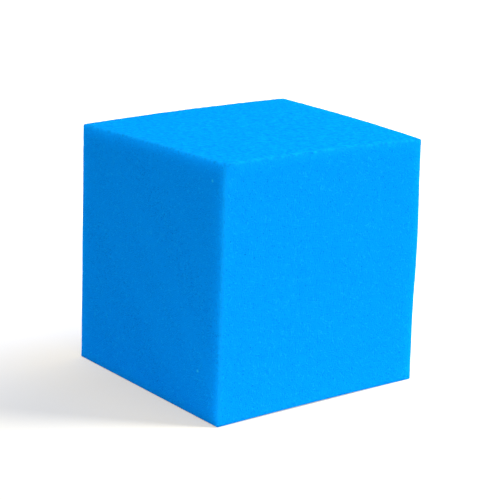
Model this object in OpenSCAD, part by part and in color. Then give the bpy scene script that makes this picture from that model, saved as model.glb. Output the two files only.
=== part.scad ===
// Foam pit block: one soft cube of open-cell polyurethane foam, sawn out of a
// larger bun by six flat cuts and lying on the last of them. Foam gives under
// the blade, so each of the other five cuts stands a degree or so out of true,
// and the cut edges relax into a small radius.
//
// Millimetres, +Z up. The base is the plane z = 0, with the bounding box
// centred on the Z axis. The front is -Y and the left side is -X.

/* [Block] */
// Width along the foot of the block, between the left and right cuts
block_w = 200; // [80:1:250]
// Depth along the foot of the block, between the front and back cuts
block_d = 198; // [80:1:250]
// Height of the top cut above the base, at the middle
block_h = 203; // [80:1:250]

/* [Edges] */
// Radius that the sawn edges relax to
edge_r = 2; // [1:0.5:12]

/* [Side cuts, degrees] */
// Lean of the front cut, above 0 where its top overhangs
front_lean = 0.3; // [-3:0.1:3]
// Turn of the front cut, anticlockwise seen from above
front_turn = 1.1; // [-3:0.1:3]
// Lean of the back cut, above 0 where its top overhangs
back_lean = -0.4; // [-3:0.1:3]
// Turn of the back cut, anticlockwise seen from above
back_turn = -0.4; // [-3:0.1:3]
// Lean of the left cut, above 0 where its top overhangs
left_lean = -1.1; // [-3:0.1:3]
// Turn of the left cut, anticlockwise seen from above
left_turn = 1.1; // [-3:0.1:3]
// Lean of the right cut, above 0 where its top overhangs
right_lean = 0.4; // [-3:0.1:3]
// Turn of the right cut, anticlockwise seen from above
right_turn = -1.8; // [-3:0.1:3]

/* [Top cut, degrees] */
// Fall of the top cut towards the back
fall_back = 0.6; // [-3:0.1:3]
// Fall of the top cut towards the right
fall_right = 0.2; // [-3:0.1:3]

/* [Hidden] */

foam_blue = [0.01, 0.63, 0.98];
edge_facets = 96;
// The edge cutters' bore is a hair over the edge radius, so that it crosses
// both faces and leaves no step beside them.
crossing = 0.002;

// A cut is a plane: [outward unit normal, distance from the origin].
function normal(cut) = cut[0];
function distance(cut) = cut[1];
function unit(v) = v / norm(v);

// An upright cut that faces the compass angle `facing`, with its foot `out`
// from the middle of the base, then leaned and turned about that foot.
function side_cut(facing, out, lean, turn) =
    let (
        foot = out * [cos(facing), sin(facing), 0],
        n = [
            cos(lean) * cos(facing + turn),
            cos(lean) * sin(facing + turn),
            -sin(lean)
        ]
    )
    [n, n * foot];

// A level cut, then tilted about its middle
function top_cut(height, to_back, to_right) =
    let (n = unit([tan(to_right), tan(to_back), 1]))
    [n, n * [0, 0, height]];

// The side cuts run anticlockwise from the right, so that neighbours in the
// list share an upright edge.
side_cuts = [
    side_cut(0, block_w / 2, right_lean, right_turn),
    side_cut(90, block_d / 2, back_lean, back_turn),
    side_cut(180, block_w / 2, left_lean, left_turn),
    side_cut(270, block_d / 2, front_lean, front_turn)
];
base = [[0, 0, -1], 0];
top = top_cut(block_h, fall_back, fall_right);

// Side cut i, counted round and round
function side(i) = side_cuts[(i + 4) % 4];

// The same plane moved into the foam by the edge radius
function inset(cut) = [normal(cut), distance(cut) - edge_r];

// The one point that three planes share
function meet(a, b, c) =
    let (
        ab = cross(normal(a), normal(b)),
        bc = cross(normal(b), normal(c)),
        ca = cross(normal(c), normal(a))
    )
    (distance(a) * bc + distance(b) * ca + distance(c) * ab) / (normal(a) * bc);

// Middle of the bounding box in plan
corners = [
    for (i = [0:3], level = [base, top])
        meet(inset(side(i)), inset(side(i + 1)), inset(level))
];
xs = [for (corner = corners) corner.x];
ys = [for (corner = corners) corner.y];
middle = [min(xs) + max(xs), min(ys) + max(ys), 0] / 2;

// Places its children at `at`, with their X and Z along two unit vectors
module aligned(at, x_axis, z_axis) {
    y_axis = cross(z_axis, x_axis);
    multmatrix([
        [x_axis.x, y_axis.x, z_axis.x, at.x],
        [x_axis.y, y_axis.y, z_axis.y, at.y],
        [x_axis.z, y_axis.z, z_axis.z, at.z]
    ])
        children();
}

// The bun of foam, twice the block each way
module bun() {
    translate([0, 0, block_h / 2])
        cube(2 * [block_w, block_d, block_h], center = true);
}

// What falls away outside a cut, large enough to take the bun's corners
module offcut(cut) {
    size = 2 * (block_w + block_d + block_h);
    across = unit(cross(normal(cut), abs(normal(cut).z) > 0.5 ? [0, 1, 0] : [0, 0, 1]));
    aligned(distance(cut) * normal(cut), across, normal(cut))
        translate([0, 0, size / 2])
            cube(size, center = true);
}

// What is missing outside the rounded edge of cuts a and b, run on past the
// cuts at both its ends
module edge_waste(a, b, end_1, end_2) {
    start = meet(inset(a), inset(b), end_1);
    finish = meet(inset(a), inset(b), end_2);
    along = unit(finish - start);
    to_a = [1, 0];
    to_b = [normal(b) * normal(a), normal(b) * cross(along, normal(a))];
    reach = 2 * edge_r;
    tip = reach * (to_a + to_b) / (1 + to_a * to_b);
    aligned(start - reach * along, normal(a), along)
        linear_extrude(norm(finish - start) + 2 * reach)
            difference() {
                polygon([[0, 0], reach * to_a, tip, reach * to_b]);
                circle(r = edge_r + crossing, $fn = edge_facets);
            }
}

module sawn_block() {
    difference() {
        bun();
        for (cut = concat(side_cuts, [base, top]))
            offcut(cut);
    }
}

// Rounds the four upright edges of its child.
module round_uprights() {
    difference() {
        children();
        for (i = [0:3])
            edge_waste(side(i), side(i + 1), base, top);
    }
}

// Rounds the top and bottom edges of its child along side cuts i and i + 2.
module round_ends(i) {
    difference() {
        children();
        for (j = [i, i + 2], level = [base, top])
            edge_waste(side(j), level, side(j - 1), side(j + 1));
    }
}

module foam_block() {
    color(foam_blue)
        translate(-middle)
            round_ends(1)
                round_ends(0)
                    round_uprights()
                        sawn_block();
}

foam_block();
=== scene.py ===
"""A foam pit block: one cube of soft open-cell foam, sawn on all six sides, standing on a white floor.

Metres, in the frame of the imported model: +Z up, the front face towards -Y and the left face towards -X.
"""

import math
from itertools import product

import bpy
import numpy as np
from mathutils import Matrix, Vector, noise


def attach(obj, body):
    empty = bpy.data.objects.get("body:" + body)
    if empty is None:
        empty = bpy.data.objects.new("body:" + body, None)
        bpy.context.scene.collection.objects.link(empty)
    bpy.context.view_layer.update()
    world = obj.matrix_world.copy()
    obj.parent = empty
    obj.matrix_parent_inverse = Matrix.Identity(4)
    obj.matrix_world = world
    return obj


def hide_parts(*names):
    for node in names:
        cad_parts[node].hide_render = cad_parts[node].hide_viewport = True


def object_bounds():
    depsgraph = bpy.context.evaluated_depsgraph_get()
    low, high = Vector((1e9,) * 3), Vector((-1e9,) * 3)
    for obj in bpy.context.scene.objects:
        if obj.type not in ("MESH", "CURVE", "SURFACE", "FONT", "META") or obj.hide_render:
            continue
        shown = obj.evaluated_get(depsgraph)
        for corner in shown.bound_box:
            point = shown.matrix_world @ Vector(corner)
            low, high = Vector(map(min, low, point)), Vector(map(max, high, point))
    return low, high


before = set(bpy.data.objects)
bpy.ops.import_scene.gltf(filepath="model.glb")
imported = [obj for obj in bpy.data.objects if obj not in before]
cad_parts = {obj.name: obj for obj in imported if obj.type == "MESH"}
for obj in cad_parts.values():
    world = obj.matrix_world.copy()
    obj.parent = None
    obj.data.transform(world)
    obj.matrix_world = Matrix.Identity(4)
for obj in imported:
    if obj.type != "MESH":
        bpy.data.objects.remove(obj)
cad_low, cad_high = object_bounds()
bpy.context.scene.view_settings.view_transform = "Standard"

MM = 0.001
NODE = "foam_block"


# ------------------------------------------------------------------ placing things

def linked(thing):
    bpy.context.scene.collection.objects.link(thing)
    return thing


def from_direction(azimuth, elevation):
    """Unit vector from the block towards a camera or lamp. Azimuth 0 is in front, and 90 on the right."""
    a, e = math.radians(azimuth), math.radians(elevation)
    return Vector((math.sin(a) * math.cos(e), -math.cos(a) * math.cos(e), math.sin(e)))


def aimed(name, data, azimuth, elevation, distance):
    """A camera or lamp that faces the middle of the block from the given direction and distance."""
    direction = from_direction(azimuth, elevation)
    thing = linked(bpy.data.objects.new(name, data))
    thing.location = (cad_low + cad_high) / 2 + direction * distance
    thing.rotation_euler = direction.to_track_quat("Z", "Y").to_euler()
    return thing


# ------------------------------------------------------------------ node trees

class Nodes:
    """A short way to build a node tree: most calls make a node and return the output that is used."""

    # The Mix node's inputs for the factor and two colours, and its output for their mix
    MIX_FACTOR, MIX_A, MIX_B, MIX_RESULT = 0, 6, 7, 2

    def __init__(self, tree):
        self.tree = tree
        tree.nodes.clear()

    def add(self, kind, inputs=None, **settings):
        """A node itself. Each of its inputs is given as a value or as the output to link to it."""
        node = self.tree.nodes.new(kind)
        for name, value in settings.items():
            setattr(node, name, value)
        for key, value in (inputs or {}).items():
            if isinstance(value, bpy.types.NodeSocket):
                self.tree.links.new(value, node.inputs[key])
            else:
                node.inputs[key].default_value = value
        return node

    def math(self, operation, *values, clamp=False):
        node = self.add("ShaderNodeMath", dict(enumerate(values)), operation=operation, use_clamp=clamp)
        return node.outputs[0]

    def vector(self, operation, *values, output="Vector"):
        node = self.add("ShaderNodeVectorMath", dict(enumerate(values)), operation=operation)
        return node.outputs[output]

    def place(self):
        """Where each point of the surface lies on its object."""
        return self.add("ShaderNodeTexCoord").outputs["Object"]

    def attribute(self, name):
        return self.add("ShaderNodeAttribute", attribute_name=name).outputs["Fac"]

    def seen(self):
        """1 for a ray that shows a surface to the camera, also by way of metal or glass."""
        rays = self.add("ShaderNodeLightPath").outputs
        glass = self.math("MAXIMUM", rays["Is Glossy Ray"], rays["Is Transmission Ray"])
        return self.math("MAXIMUM", rays["Is Camera Ray"], glass)

    def ramp(self, value, low, high, to_low=0.0, to_high=1.0):
        """The value from low to high, eased and mapped to to_low to to_high."""
        node = self.add(
            "ShaderNodeMapRange",
            {"Value": value, "From Min": low, "From Max": high, "To Min": to_low, "To Max": to_high},
            interpolation_type="SMOOTHSTEP",
        )
        return node.outputs[0]

    def mix(self, factor, a, b, blend="MIX"):
        """Colour a blended with b. Each is an output, or red, green and blue."""
        a, b = ((*colour, 1.0) if isinstance(colour, tuple) else colour for colour in (a, b))
        node = self.add(
            "ShaderNodeMix",
            {self.MIX_FACTOR: factor, self.MIX_A: a, self.MIX_B: b},
            data_type="RGBA",
            blend_type=blend,
        )
        return node.outputs[self.MIX_RESULT]

    def noise(self, where, scale, detail, output="Fac"):
        node = self.add("ShaderNodeTexNoise", {"Vector": where, "Scale": scale, "Detail": detail})
        return node.outputs[output]

    def cells(self, where, scale):
        """How far each place is from the middle of its cell, in cell widths, and a number for its cell.

        That number is from 0 to 1, by chance.
        """
        cells = self.add("ShaderNodeTexVoronoi", {"Vector": where, "Scale": scale}).outputs
        chance = self.add("ShaderNodeSeparateColor", {"Color": cells["Color"]}).outputs["Red"]
        return cells["Distance"], chance


def new_material(name):
    """A material, and its empty node tree to build on."""
    material = bpy.data.materials.new(name)
    material.use_nodes = True
    return material, Nodes(material.node_tree)


# ------------------------------------------------------------------ camera

# The direction from the block and the roll in degrees, the distance, and the lens in millimetres
CAMERA_AZIMUTH, CAMERA_ELEVATION, CAMERA_ROLL = -35.5, 15.7, 0.85
CAMERA_DISTANCE, CAMERA_LENS = 1.45, 127.0


def add_camera():
    data = bpy.data.cameras.new("camera")
    data.lens = CAMERA_LENS
    camera = aimed("camera", data, CAMERA_AZIMUTH, CAMERA_ELEVATION, CAMERA_DISTANCE)
    camera.rotation_euler.rotate_axis("Z", math.radians(CAMERA_ROLL))
    bpy.context.scene.camera = camera


# ------------------------------------------------------------------ light

# Sky: the light that it gives, and the white that it shows the camera
SKY_LIGHT, SKY_WHITE = (0.646, 0.663, 0.763), (1.0, 1.0, 1.0)

# Lamp: the direction that it comes from in degrees, its distance and size, and its light
KEY_AZIMUTH, KEY_ELEVATION, KEY_DISTANCE = 51.0, 39.5, 4.5
KEY_WIDTH, KEY_HEIGHT = 1.4, 1.8
KEY_WATTS, KEY_COLOUR = 186.9, (1.000, 0.985, 0.900)


def add_sky():
    world = bpy.data.worlds.new("world")
    bpy.context.scene.world = world
    world.use_nodes = True
    n = Nodes(world.node_tree)
    colour = n.mix(n.seen(), SKY_LIGHT, SKY_WHITE)
    background = n.add("ShaderNodeBackground", {"Color": colour, "Strength": 1.0})
    n.add("ShaderNodeOutputWorld", {"Surface": background.outputs[0]})


def add_lamp():
    data = bpy.data.lights.new("key", "AREA")
    data.shape = "ELLIPSE"
    data.size, data.size_y = KEY_WIDTH, KEY_HEIGHT
    data.energy = KEY_WATTS
    data.color = KEY_COLOUR
    aimed("key", data, KEY_AZIMUTH, KEY_ELEVATION, KEY_DISTANCE)


# ------------------------------------------------------------------ floor

FLOOR_HALF = 6.0

# The floor's colour under the light, up to FLOOR_NEAR_TO from the block's middle and from FLOOR_FAR_FROM on
FLOOR_NEAR, FLOOR_FAR = (0.80, 0.785, 0.757), (0.45, 0.44, 0.424)
FLOOR_NEAR_TO, FLOOR_FAR_FROM = 0.12, 0.50

# The floor's glow, which is there for what the camera sees and lights nothing.
# It is full white from GLOW_TO on, counted from a point in the block's shadow, and weak
# up to GLOW_FROM, so that the shadow shows: painted light that fades the shadow out
# with distance. There it turns from GLOW_FOOT, beside the block, to GLOW_NEAR, at
# GLOW_FOOT_TO from its sides: painted light that evens out the blue that the foam
# casts and lightens the shade where block and floor touch.
GLOW_CENTRE, GLOW_FROM, GLOW_TO = (-0.12, -0.08, 0.0), 0.10, 0.46
GLOW_FULL, GLOW_NEAR, GLOW_FOOT = (1.0, 1.0, 1.0), (0.302, 0.285, 0.208), (0.376, 0.311, 0.134)
GLOW_FOOT_TO = 0.115


# Painted light on the floor: the glow's colour at each point, which fades the block's shadow out and evens
# out its tint beside the block.
def floor_glow(n, where):
    past_sides = n.vector("SUBTRACT", n.vector("ABSOLUTE", where), (cad_high - cad_low) / 2)
    beside = n.vector("LENGTH", n.vector("MAXIMUM", past_sides, (0, 0, 0)), output="Value")
    weak = n.mix(n.ramp(beside, 0.0, GLOW_FOOT_TO), GLOW_FOOT, GLOW_NEAR)
    away = n.vector("DISTANCE", where, GLOW_CENTRE, output="Value")
    return n.mix(n.ramp(away, GLOW_FROM, GLOW_TO), weak, GLOW_FULL)


def floor_material():
    material, n = new_material("floor")
    where = n.place()
    out = n.vector("LENGTH", where, output="Value")
    colour = n.mix(n.ramp(out, FLOOR_NEAR_TO, FLOOR_FAR_FROM), FLOOR_NEAR, FLOOR_FAR)
    diffuse = n.add("ShaderNodeBsdfDiffuse", {"Color": colour})
    glow = n.add("ShaderNodeEmission", {"Color": floor_glow(n, where), "Strength": n.seen()})
    both = n.add("ShaderNodeAddShader", {0: diffuse.outputs[0], 1: glow.outputs[0]})
    n.add("ShaderNodeOutputMaterial", {"Surface": both.outputs[0]})
    return material


def floor_piece():
    corners = [(x * FLOOR_HALF, y * FLOOR_HALF, 0) for x, y in ((-1, -1), (1, -1), (1, 1), (-1, 1))]
    mesh = bpy.data.meshes.new("floor")
    mesh.from_pydata(corners, [], [(0, 1, 2, 3)])
    mesh.materials.append(floor_material())
    return linked(bpy.data.objects.new("floor", mesh))


# ------------------------------------------------------------------ foam mesh

# Quads along each edge, how much closer they lie near the edges, and how far in from the edges
QUADS, EDGE_DENSITY, EDGE_BAND = 122, 1.6, 6 * MM
# Steps in which the places of the quads are worked out
FINE_STEPS = 4001

# Radius of the soft edges, radius at the floor, and the height from which the first holds
EDGE_R, FOOT_R, FOOT_HEIGHT = 1.5 * MM, 1.0 * MM, 12 * MM

# Places on the block are given as u, v and w from -1 to 1: left to right, front to back, base to top.
# How far the top's edges rise between its corners, and how far its near and far corners rise and the
# other two sink
TOP_CROWN, TOP_TWIST = 1.1 * MM, 1.3 * MM
# How far the right side swells where another block leant on it, at what w, and how widely
SIDE_SWELL, SWELL_AT, SWELL_WIDTH = 1.2 * MM, 0.2, 0.4
# How far the front of the base arches, and the power with which the arch fades to the back
FOOT_ARCH, ARCH_FADE = 0.8 * MM, 6

# Unevenness: its depth, the size of its lumps and the seed of its noise
LONG_WAVES = 0.20 * MM, 48 * MM, 3.1
SHORT_WAVES = 0.06 * MM, 11 * MM, 7.7
ROUGH_SIZE, ROUGH_SEED = 3.4 * MM, 1.3
# Depth of the saw's roughness in millimetres: everywhere, and what the top and the edges add
ROUGH_ALL, ROUGH_TOP, ROUGH_EDGES = 0.07, 0.11, 0.04
# Height from which the unevenness is full
UNEVEN_FROM = 3 * MM

# Reach of the painted highlight and of the rougher surface from the edges, of the
# painted shade from the top's front edge, and of the painted light on the foot from the floor
EDGE_HIGHLIGHT_REACH, ROUGH_REACH, TOP_EDGE_SHADE_REACH, FOOT_REACH = 2 * MM, 4 * MM, 8 * MM, 6 * MM
# The top begins where w passes the first, and the painted edge highlight fades out where -w passes the
# second
TOP_FROM, EDGE_HIGHLIGHT_ENDS = 0.96, 0.90
# Share of the painted edge highlight that the painted shade on the top's front edge takes away
TOP_EDGE_SHADE_HIDES = 0.55


def flat_cuts(node):
    """The plane of each of the block's six flat sides, as {(axis, sign): (outward normal, distance)}."""
    largest, cuts = {}, {}
    for face in node.data.polygons:
        axis = max(range(3), key=lambda k: abs(face.normal[k]))
        side = (axis, 1 if face.normal[axis] > 0 else -1)
        if face.area > largest.get(side, 0):
            largest[side] = face.area
            cuts[side] = (np.array(face.normal), face.normal.dot(face.center))
    return cuts


def sharp_corners(cuts):
    """Where the flat sides would meet if no edge were rounded, by the signs of x, y and z."""
    corners = {}
    for signs in product((-1, 1), repeat=3):
        planes = [cuts[axis, sign] for axis, sign in enumerate(signs)]
        normals, distances = zip(*planes)
        corners[signs] = np.linalg.solve(np.array(normals), np.array(distances))
    return corners


def near(distance, reach):
    """1 at no distance, and down to about a third with each reach further away."""
    return np.exp(-distance / reach)


def eased(x, low, high):
    """0 up to low, 1 from high on, and an S curve in between."""
    t = np.clip((x - low) / (high - low), 0, 1)
    return t * t * (3 - 2 * t)


def spread(half):
    """Places from -1 to 1, closer together near both ends."""
    fine = np.linspace(-1, 1, FINE_STEPS)
    density = 1 + EDGE_DENSITY * near((1 - np.abs(fine)) * half, EDGE_BAND)
    total = np.concatenate(([0], np.cumsum((density[1:] + density[:-1]) / 2)))
    return np.interp(np.linspace(0, total[-1], QUADS + 1), total, fine)


def lattice_shell():
    """The points of a cubic lattice that lie on its surface, and the quads between them."""
    steps = np.arange(QUADS)
    quads = []
    for axis, end in product(range(3), (0, QUADS)):
        i, j = (g.ravel() for g in np.meshgrid(steps, steps, indexing="ij"))
        ring = []
        for di, dj in ((0, 0), (1, 0), (1, 1), (0, 1)):
            point = np.empty((len(i), 3), int)
            point[:, axis] = end
            point[:, (axis + 1) % 3] = i + di
            point[:, (axis + 2) % 3] = j + dj
            ring.append(point)
        quads.append(np.stack(ring if end else ring[::-1], axis=1))
    corners = np.concatenate(quads).reshape(-1, 3)
    points, index = np.unique(corners, axis=0, return_inverse=True)
    return points, index.reshape(-1, 4)


def softened(box, half, height):
    """The box's surface with each edge drawn in to its radius, and the direction outwards at each point."""
    radius = FOOT_R + (EDGE_R - FOOT_R) * eased(height, 0, FOOT_HEIGHT)
    inner = np.clip(box, -(half - radius[:, None]), half - radius[:, None])
    out = box - inner
    normal = out / np.linalg.norm(out, axis=1)[:, None]
    return inner + normal * radius[:, None], normal


def sawn(corners, u, v, w):
    """The same places on the out-of-true block of the six saw cuts: each corner counts by how near it is."""
    points = np.zeros((len(u), 3))
    for signs, corner in corners.items():
        share = np.prod([1 + s * t for s, t in zip(signs, (u, v, w))], axis=0) / 8
        points += share[:, None] * corner
    return points


def sag(points, u, v, w):
    """Moves the points a little, because soft foam doesn't stay flat between its corners."""
    points[:, 2] += (TOP_CROWN * (2 - u**2 - v**2) + TOP_TWIST * u * v) * (1 + w) / 2
    points[:, 0] += SIDE_SWELL * np.exp(-(((w - SWELL_AT) / SWELL_WIDTH) ** 2)) * (1 + u) / 2
    points[:, 2] += FOOT_ARCH * (1 - u**2) * (1 - w) / 2 * ((1 - v) / 2) ** ARCH_FADE


def waves(points, depth, size, seed):
    """Smooth noise about 0 at each point, of the given depth and with lumps of about the given size."""
    offset = Vector((seed, -2 * seed, 3 * seed))
    return depth * np.array([noise.noise(Vector(p / size) + offset) for p in points])


def unevenness(points, height, top, edge):
    """How far each point stands out. The top's cut is rougher than the others."""
    rough = (ROUGH_ALL + ROUGH_TOP * top + ROUGH_EDGES * edge) * MM
    out = waves(points, *LONG_WAVES) + waves(points, *SHORT_WAVES)
    out += waves(points, rough, ROUGH_SIZE, ROUGH_SEED)
    return out * eased(height, 0, UNEVEN_FROM)


def foam_points(lattice, corners):
    """The block's surface in metres, and what the material reads at each point, as amounts from 0 to 1."""
    half = np.ptp(list(corners.values()), axis=0) / 2
    unit = np.stack([spread(half[k])[lattice[:, k]] for k in range(3)], axis=1)
    box = unit * half
    height = box[:, 2] + half[2]
    soft, normal = softened(box, half, height)
    u, v, w = (soft / half).T

    from_edge = np.sort(half - np.abs(box), axis=1)[:, 1]
    # Painted shade along the top's front edge, and a painted highlight along the edges, which that shade
    # partly takes away
    top_edge_shade = near(np.maximum((1 + v) * half[1], (1 - w) * half[2]), TOP_EDGE_SHADE_REACH)
    edge_highlight = near(from_edge, EDGE_HIGHLIGHT_REACH) * (1 - eased(-w, EDGE_HIGHLIGHT_ENDS, 1)) * (1 - TOP_EDGE_SHADE_HIDES * top_edge_shade)
    top = eased(w, TOP_FROM, 1)
    amounts = {"edge_highlight": edge_highlight, "top": top, "top_edge_shade": top_edge_shade, "foot": near(height, FOOT_REACH)}

    points = sawn(corners, u, v, w)
    sag(points, u, v, w)
    points += normal * unevenness(points, height, top, near(from_edge, ROUGH_REACH))[:, None]
    points[:, 2] = np.maximum(points[:, 2], 0)
    return points, amounts


def foam_piece():
    lattice, quads = lattice_shell()
    points, amounts = foam_points(lattice, sharp_corners(flat_cuts(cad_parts[NODE])))
    mesh = bpy.data.meshes.new("foam")
    mesh.from_pydata(points.tolist(), [], quads.tolist())
    mesh.polygons.foreach_set("use_smooth", [True] * len(mesh.polygons))
    for name, values in amounts.items():
        mesh.attributes.new(name, "FLOAT", "POINT").data.foreach_set("value", values)
    mesh.update()
    mesh.materials.append(foam_material())
    return linked(bpy.data.objects.new("foam", mesh))


# ------------------------------------------------------------------ foam material

# The foam's blue; a darker blue for painted shade in the cells' mouths; a paler blue for the painted
# highlight on struts and edges; and a still paler blue for painted glints
FOAM_BLUE = (0.001, 0.335, 0.985)
PORE_SHADE_BLUE = (0.0004, 0.200, 0.760)
HIGHLIGHT_BLUE = (0.006, 0.430, 1.000)
GLINT_BLUE = (0.030, 0.620, 1.000)

# Cells to a metre: the foam's own, and the few large ones
CELLS, LARGE_CELLS = 800.0, 360.0
# What bends the walls between the cells, so that no cell looks like another: noise lumps to a metre,
# their detail, and how far they move a wall
BEND_SCALE, BEND_DETAIL, BEND_BY = 420.0, 1.0, 0.7 * MM

# Open mouths of the cells and of the large ones: from where to where their wall
# runs, in cell widths from the middle, the range of chance that counts, and
# the depths at its ends
MOUTH = {"wall": (0.10, 0.60), "chances": (0.15, 0.95), "depths": (0.15, 1.0)}
LARGE_MOUTH = {"wall": (0.06, 0.36), "chances": (0.45, 0.85), "depths": (0.0, 0.6)}
# How much the foam's own mouths count beside the large ones
MOUTH_SHARE = 0.54

# Struts between the mouths, which stand up in the bumps and carry a painted highlight: where they run, in
# cell widths from the middle, and the noise that leaves some of them out: lumps to a metre, detail, and from
# where to where it counts
STRUT_RUN = 0.45, 0.75
STRUT_SCALE, STRUT_DETAIL, STRUT_COUNTS = 340.0, 2.0, (0.48, 0.68)
# How much the painted highlight along the edges counts beside a strut's, and how far both turn the foam to
# the paler blue of the painted highlight
EDGE_HIGHLIGHT_SHARE, HIGHLIGHT_SHARE = 0.85, 0.6

# Lighter and darker clumps of a few cells: lumps to a metre, detail, and strength on the sides and on top
CLUMP_SCALE, CLUMP_DETAIL, CLUMP_SIDES, CLUMP_TOP = 290.0, 1.0, 0.06, 0.70
# Painted shade on the top's front edge, which dims the light band that gathers there: the tone it multiplies
# by;
# and painted light on the foot: how much lighter it is made, because light is lost under the block and the
# real foot isn't darker
TOP_EDGE_SHADE_TONE, FOOT_LIFT = 0.90, 0.13

# Two painted glints on the left side, pale specks where the foam's cell walls would catch the light, in
# millimetres:
# their places, from where to where they fade, and how strong they are. x, which goes into that side, counts
# by a share only, since the surface is uneven.
GLINTS = (-96.0, -85.5, 190.1), (-99.1, -71.9, 37.6)
GLINT_FADE, GLINT_STRENGTH, GLINT_X_SHARE = (0.5, 1.8), 0.65, 0.2

# Depth of the bumps, how strongly they count, and how high a strut stands beside a mouth's depth
BUMP_DEPTH, BUMP_STRENGTH, STRUT_HEIGHT = 0.6 * MM, 0.6, 0.5
# Roughness between the pores and in them
ROUGHNESS = 0.9, 1.0
# How far red, green and blue light travels under the surface, in steps of SCATTER_SCALE
SCATTER, SCATTER_SCALE = (0.4, 1.15, 1.2), 13.5 * MM


def bent(n, where):
    warp = n.noise(where, BEND_SCALE, BEND_DETAIL, output="Color")
    return n.vector("ADD", where, n.vector("MULTIPLY", warp, (BEND_BY,) * 3))


def mouth(n, distance, chance, wall, chances, depths):
    """How deep each place lies in the mouth of its cell, which is as deep as chance has it."""
    return n.math("MULTIPLY", n.ramp(distance, *wall, 1.0, 0.0), n.ramp(chance, *chances, *depths))


def foam_tone(n, where):
    """What the foam's colour is multiplied by: random clumps, painted shade on the top's front edge and
    painted light on the foot.
    """
    strength = n.ramp(n.attribute("top"), 0.0, 1.0, CLUMP_SIDES, CLUMP_TOP)
    clump = n.math("SUBTRACT", n.noise(where, CLUMP_SCALE, CLUMP_DETAIL), 0.5)
    top_edge_shade = n.ramp(n.attribute("top_edge_shade"), 0.0, 1.0, 1.0, TOP_EDGE_SHADE_TONE)
    tone = n.math("ADD", n.math("MULTIPLY", clump, strength), top_edge_shade)
    return n.math("ADD", tone, n.math("MULTIPLY", n.attribute("foot"), FOOT_LIFT))


# Painted glints: pale specks at the listed places on the left side.
def with_glints(n, where, colour):
    flattened = n.vector("MULTIPLY", where, (GLINT_X_SHARE, 1.0, 1.0))
    low, high = GLINT_FADE
    for x, y, z in GLINTS:
        spot = (GLINT_X_SHARE * x * MM, y * MM, z * MM)
        away = n.vector("DISTANCE", flattened, spot, output="Value")
        colour = n.mix(n.ramp(away, low * MM, high * MM, GLINT_STRENGTH, 0.0), colour, GLINT_BLUE)
    return colour


def foam_material():
    material, n = new_material("open_cell_foam")
    where = n.place()

    cell_place = bent(n, where)
    distance, chance = n.cells(cell_place, CELLS)
    small = mouth(n, distance, chance, **MOUTH)
    large = mouth(n, *n.cells(cell_place, LARGE_CELLS), **LARGE_MOUTH)
    pores = n.math("ADD", n.math("MULTIPLY", small, MOUTH_SHARE), large, clamp=True)
    some = n.ramp(n.noise(where, STRUT_SCALE, STRUT_DETAIL), *STRUT_COUNTS)
    struts = n.math("MULTIPLY", n.ramp(distance, *STRUT_RUN), some)

    # Painted highlight: struts and a band along the edges turn paler blue
    painted_highlight = n.math("MAXIMUM", struts, n.math("MULTIPLY", n.attribute("edge_highlight"), EDGE_HIGHLIGHT_SHARE))
    # Painted shade in the cells' mouths: the deeper, the darker blue
    colour = n.mix(pores, FOAM_BLUE, PORE_SHADE_BLUE)
    colour = n.mix(n.math("MULTIPLY", painted_highlight, HIGHLIGHT_SHARE), colour, HIGHLIGHT_BLUE)
    # Random clumps, painted shade on the top's front edge and painted light on the foot
    colour = n.mix(1.0, colour, foam_tone(n, where), blend="MULTIPLY")
    # Painted glints
    colour = with_glints(n, where, colour)

    height = n.math("SUBTRACT", n.math("MULTIPLY", struts, STRUT_HEIGHT), pores)
    bump = n.add("ShaderNodeBump", {"Height": height, "Strength": BUMP_STRENGTH, "Distance": BUMP_DEPTH})
    shader = n.add(
        "ShaderNodeBsdfPrincipled",
        {
            "Base Color": colour,
            "Roughness": n.ramp(pores, 0.0, 1.0, *ROUGHNESS),
            "Specular IOR Level": 0.0,
            "Subsurface Weight": 1.0,
            "Subsurface Radius": SCATTER,
            "Subsurface Scale": SCATTER_SCALE,
            "Normal": bump.outputs[0],
        },
        subsurface_method="BURLEY",
    )
    n.add("ShaderNodeOutputMaterial", {"Surface": shader.outputs[0]})
    return material


# ------------------------------------------------------------------ the scene

add_camera()
add_sky()
add_lamp()

floor = floor_piece()

foam = foam_piece()
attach(foam, "root")
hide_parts(NODE)
